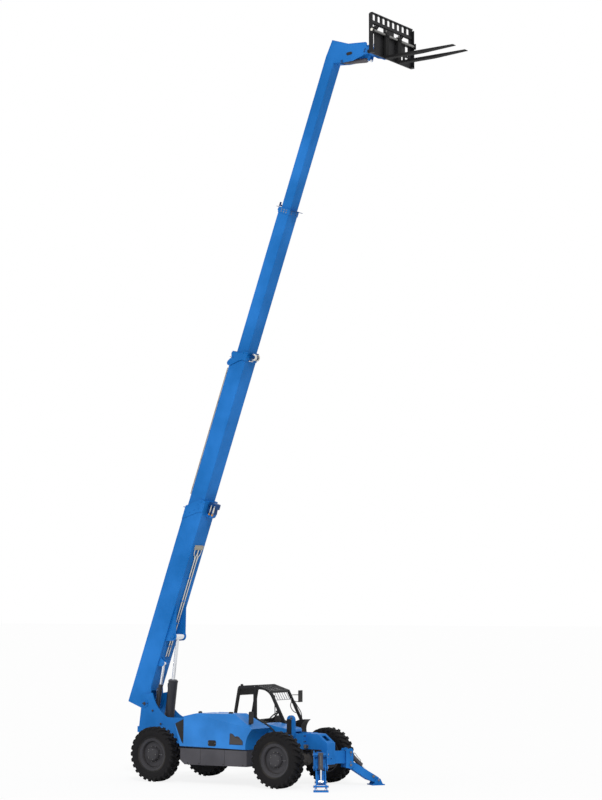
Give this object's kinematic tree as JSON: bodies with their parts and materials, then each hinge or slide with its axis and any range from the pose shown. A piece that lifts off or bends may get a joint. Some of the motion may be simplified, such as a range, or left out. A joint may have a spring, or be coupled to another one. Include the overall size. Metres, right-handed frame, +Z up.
{
  "type": "telehandler",
  "caption": "Rough-terrain telehandler with a raised telescopic boom in four sections, fork carriage, side cab, front stabilisers and large lugged tyres.",
  "frame": {"origin": "on the ground at the centre of the machine's bounding box, midway between the boom's tail and the fork tips, on the middle plane", "axes": "+X forward, towards the fork tips; +Y to the machine's left; +Z up"},
  "size_m": [9.6774, 2.8644, 18.27],
  "materials": {
    "blue_paint": "gloss",
    "black_paint": "satin",
    "charcoal_paint": "satin",
    "chrome_rod": "polished",
    "axle_iron": "painted",
    "tyre_rubber": "matte",
    "seat_cover": "matte",
    "black_plastic": "matte",
    "steel_pin": "machined"
  },
  "bodies": {
    "chassis": {"chassis_frame": "blue_paint", "rear_step": "blue_paint", "front_frame": "blue_paint", "rear_axle": "axle_iron", "front_axle": "axle_iron", "engine": "black_paint", "side_tank": "charcoal_paint", "cab_tub": "black_paint", "cab_support": "black_paint", "cab_frame": "black_paint", "seat": "seat_cover", "seat_base": "black_paint", "steering_wheel": "black_plastic", "mirror": "black_plastic", "cab_grille": "black_paint"},
    "knuckle_front_left": {"knuckle_front_left": "axle_iron"},
    "wheel_front_left": {"rim_front_left": "charcoal_paint", "tyre_front_left": "tyre_rubber"},
    "knuckle_front_right": {"knuckle_front_right": "axle_iron"},
    "wheel_front_right": {"rim_front_right": "charcoal_paint", "tyre_front_right": "tyre_rubber"},
    "knuckle_rear_left": {"knuckle_rear_left": "axle_iron"},
    "wheel_rear_left": {"rim_rear_left": "charcoal_paint", "tyre_rear_left": "tyre_rubber"},
    "knuckle_rear_right": {"knuckle_rear_right": "axle_iron"},
    "wheel_rear_right": {"rim_rear_right": "charcoal_paint", "tyre_rear_right": "tyre_rubber"},
    "hood": {"hood": "blue_paint", "hood_vents": "black_plastic"},
    "boom_base": {"boom_base": "blue_paint", "boom_tubes": "steel_pin"},
    "boom_second": {"boom_second": "blue_paint"},
    "boom_third": {"boom_third": "blue_paint"},
    "boom_fly": {"boom_fly": "blue_paint"},
    "tilt_pin": {"tilt_pin": "steel_pin"},
    "attachment": {"coupler": "blue_paint", "carriage": "black_paint", "fork_left": "black_paint", "fork_right": "black_paint"},
    "lift_barrel": {"lift_barrel": "black_paint"},
    "lift_rod": {"lift_rod": "chrome_rod"},
    "level_barrel": {"level_barrel": "black_paint"},
    "level_rod": {"level_rod": "chrome_rod"},
    "tilt_barrel": {"tilt_barrel": "black_paint"},
    "tilt_rod": {"tilt_rod": "chrome_rod"},
    "stabiliser_leg_left": {"stabiliser_leg_left": "blue_paint"},
    "stabiliser_foot_left": {"stabiliser_foot_left": "blue_paint"},
    "stabiliser_barrel_left": {"stabiliser_barrel_left": "black_paint"},
    "stabiliser_rod_left": {"stabiliser_rod_left": "chrome_rod"},
    "stabiliser_leg_right": {"stabiliser_leg_right": "blue_paint"},
    "stabiliser_foot_right": {"stabiliser_foot_right": "blue_paint"},
    "stabiliser_barrel_right": {"stabiliser_barrel_right": "black_paint"},
    "stabiliser_rod_right": {"stabiliser_rod_right": "chrome_rod"}
  },
  "joints": [
    {"name": "steer_front_left", "type": "hinge", "parent": "chassis", "child": "knuckle_front_left", "pos_m": [0.3537, 0.9, 0.665], "axis": [0, 0, 1], "range_deg": [-35, 35]},
    {"name": "spin_front_left", "type": "hinge", "parent": "knuckle_front_left", "child": "wheel_front_left", "pos_m": [0.3537, 0.9, 0.665], "axis": [0, 1, 0], "continuous": true},
    {"name": "steer_front_right", "type": "hinge", "parent": "chassis", "child": "knuckle_front_right", "pos_m": [0.3537, -0.9, 0.665], "axis": [0, 0, 1], "range_deg": [-35, 35]},
    {"name": "spin_front_right", "type": "hinge", "parent": "knuckle_front_right", "child": "wheel_front_right", "pos_m": [0.3537, -0.9, 0.665], "axis": [0, 1, 0], "continuous": true},
    {"name": "steer_rear_left", "type": "hinge", "parent": "chassis", "child": "knuckle_rear_left", "pos_m": [-3.3013, 0.9, 0.665], "axis": [0, 0, 1], "range_deg": [-35, 35]},
    {"name": "spin_rear_left", "type": "hinge", "parent": "knuckle_rear_left", "child": "wheel_rear_left", "pos_m": [-3.3013, 0.9, 0.665], "axis": [0, 1, 0], "continuous": true},
    {"name": "steer_rear_right", "type": "hinge", "parent": "chassis", "child": "knuckle_rear_right", "pos_m": [-3.3013, -0.9, 0.665], "axis": [0, 0, 1], "range_deg": [-35, 35]},
    {"name": "spin_rear_right", "type": "hinge", "parent": "knuckle_rear_right", "child": "wheel_rear_right", "pos_m": [-3.3013, -0.9, 0.665], "axis": [0, 1, 0], "continuous": true},
    {"name": "hood_lift", "type": "hinge", "parent": "chassis", "child": "hood", "pos_m": [-1.4513, -0.404, 1.684], "axis": [-1, 0, 0], "range_deg": [0, 60]},
    {"name": "boom_lift", "type": "hinge", "parent": "chassis", "child": "boom_base", "pos_m": [-4.2413, 0, 1.84], "axis": [0, -1, 0], "range_deg": [-72, 0]},
    {"name": "telescope", "type": "slide", "parent": "boom_base", "child": "boom_second", "axis": [0.3453, 0, 0.9385], "range_m": [-3.6, 0]},
    {"name": "telescope_third", "type": "slide", "parent": "boom_second", "child": "boom_third", "axis": [0.3453, 0, 0.9385], "range_m": [-3.6, 0]},
    {"name": "telescope_fly", "type": "slide", "parent": "boom_third", "child": "boom_fly", "axis": [0.3453, 0, 0.9385], "range_m": [-3.6, 0]},
    {"name": "self_levelling", "type": "hinge", "parent": "boom_fly", "child": "tilt_pin", "pos_m": [2.34931, 0, 17.58362], "axis": [0, -1, 0], "range_deg": [0, 72]},
    {"name": "carriage_tilt", "type": "hinge", "parent": "tilt_pin", "child": "attachment", "pos_m": [2.34931, 0, 17.58362], "axis": [0, -1, 0], "range_deg": [-12, 25]},
    {"name": "lift_barrel_pivot", "type": "hinge", "parent": "chassis", "child": "lift_barrel", "pos_m": [-3.7313, 0, 1.35], "axis": [0, -1, 0], "range_deg": [-71.68, 0]},
    {"name": "lift_rod_slide", "type": "slide", "parent": "lift_barrel", "child": "lift_rod", "axis": [0.1258, 0, 0.9921], "range_m": [-0.83217, 0]},
    {"name": "level_barrel_pivot", "type": "hinge", "parent": "chassis", "child": "level_barrel", "pos_m": [-3.9913, -0.15, 1.67], "axis": [0, -1, 0], "range_deg": [-77.11, 0]},
    {"name": "level_rod_slide", "type": "slide", "parent": "level_barrel", "child": "level_rod", "axis": [0.1783, 0, 0.984], "range_m": [-0.34465, 0]},
    {"name": "tilt_barrel_pivot", "type": "hinge", "parent": "boom_fly", "child": "tilt_barrel", "pos_m": [1.58931, 0, 17.43809], "axis": [0, -1, 0], "range_deg": [0, 7.09]},
    {"name": "tilt_rod_slide", "type": "slide", "parent": "tilt_barrel", "child": "tilt_rod", "axis": [0.9977, 0, -0.0681], "range_m": [0, 0.20961]},
    {"name": "stabiliser_left", "type": "hinge", "parent": "chassis", "child": "stabiliser_leg_left", "pos_m": [1.2437, 0.59, 0.5], "axis": [0.8241, -0.5664, 0], "range_deg": [0, 65]},
    {"name": "stabiliser_foot_left", "type": "hinge", "parent": "stabiliser_leg_left", "child": "stabiliser_foot_left", "pos_m": [1.65151, 1.18337, 0.121], "axis": [0.8241, -0.5664, 0], "range_deg": [-12, 12]},
    {"name": "stabiliser_barrel_pivot_left", "type": "hinge", "parent": "chassis", "child": "stabiliser_barrel_left", "pos_m": [1.2437, 0.59, 0.8], "axis": [0.8241, -0.5664, 0], "range_deg": [0, 57.88]},
    {"name": "stabiliser_rod_slide_left", "type": "slide", "parent": "stabiliser_barrel_left", "child": "stabiliser_rod_left", "axis": [0.4055, 0.5901, -0.6981], "range_m": [-0.31178, 0]},
    {"name": "stabiliser_right", "type": "hinge", "parent": "chassis", "child": "stabiliser_leg_right", "pos_m": [1.2437, -0.59, 0.5], "axis": [-0.8241, -0.5664, 0], "range_deg": [0, 65]},
    {"name": "stabiliser_foot_right", "type": "hinge", "parent": "stabiliser_leg_right", "child": "stabiliser_foot_right", "pos_m": [1.65151, -1.18337, 0.121], "axis": [-0.8241, -0.5664, 0], "range_deg": [-12, 12]},
    {"name": "stabiliser_barrel_pivot_right", "type": "hinge", "parent": "chassis", "child": "stabiliser_barrel_right", "pos_m": [1.2437, -0.59, 0.8], "axis": [-0.8241, -0.5664, 0], "range_deg": [0, 57.88]},
    {"name": "stabiliser_rod_slide_right", "type": "slide", "parent": "stabiliser_barrel_right", "child": "stabiliser_rod_right", "axis": [0.4055, -0.5901, -0.6981], "range_m": [-0.31178, 0]}
  ],
  "couplings": [
    {"joint": "steer_front_right", "follows": "steer_front_left", "ratio": 1},
    {"joint": "steer_rear_left", "follows": "steer_front_left", "ratio": -1},
    {"joint": "steer_rear_right", "follows": "steer_front_left", "ratio": -1},
    {"joint": "telescope_third", "follows": "telescope", "ratio": 1},
    {"joint": "telescope_fly", "follows": "telescope", "ratio": 1},
    {"joint": "self_levelling", "follows": "boom_lift", "ratio": -1},
    {"joint": "lift_barrel_pivot", "follows": "boom_lift", "ratio": 0.99461},
    {"joint": "lift_rod_slide", "follows": "boom_lift", "m_per_rad": 0.66156},
    {"joint": "level_barrel_pivot", "follows": "boom_lift", "ratio": 1.0699},
    {"joint": "level_rod_slide", "follows": "boom_lift", "m_per_rad": 0.27399},
    {"joint": "tilt_barrel_pivot", "follows": "boom_lift", "ratio": -0.098432},
    {"joint": "tilt_rod_slide", "follows": "boom_lift", "m_per_rad": -0.16663},
    {"joint": "stabiliser_barrel_pivot_left", "follows": "stabiliser_left", "ratio": 0.88958},
    {"joint": "stabiliser_rod_slide_left", "follows": "stabiliser_left", "m_per_rad": -0.27455},
    {"joint": "stabiliser_barrel_pivot_right", "follows": "stabiliser_right", "ratio": 0.88958},
    {"joint": "stabiliser_rod_slide_right", "follows": "stabiliser_right", "m_per_rad": -0.27455}
  ]
}
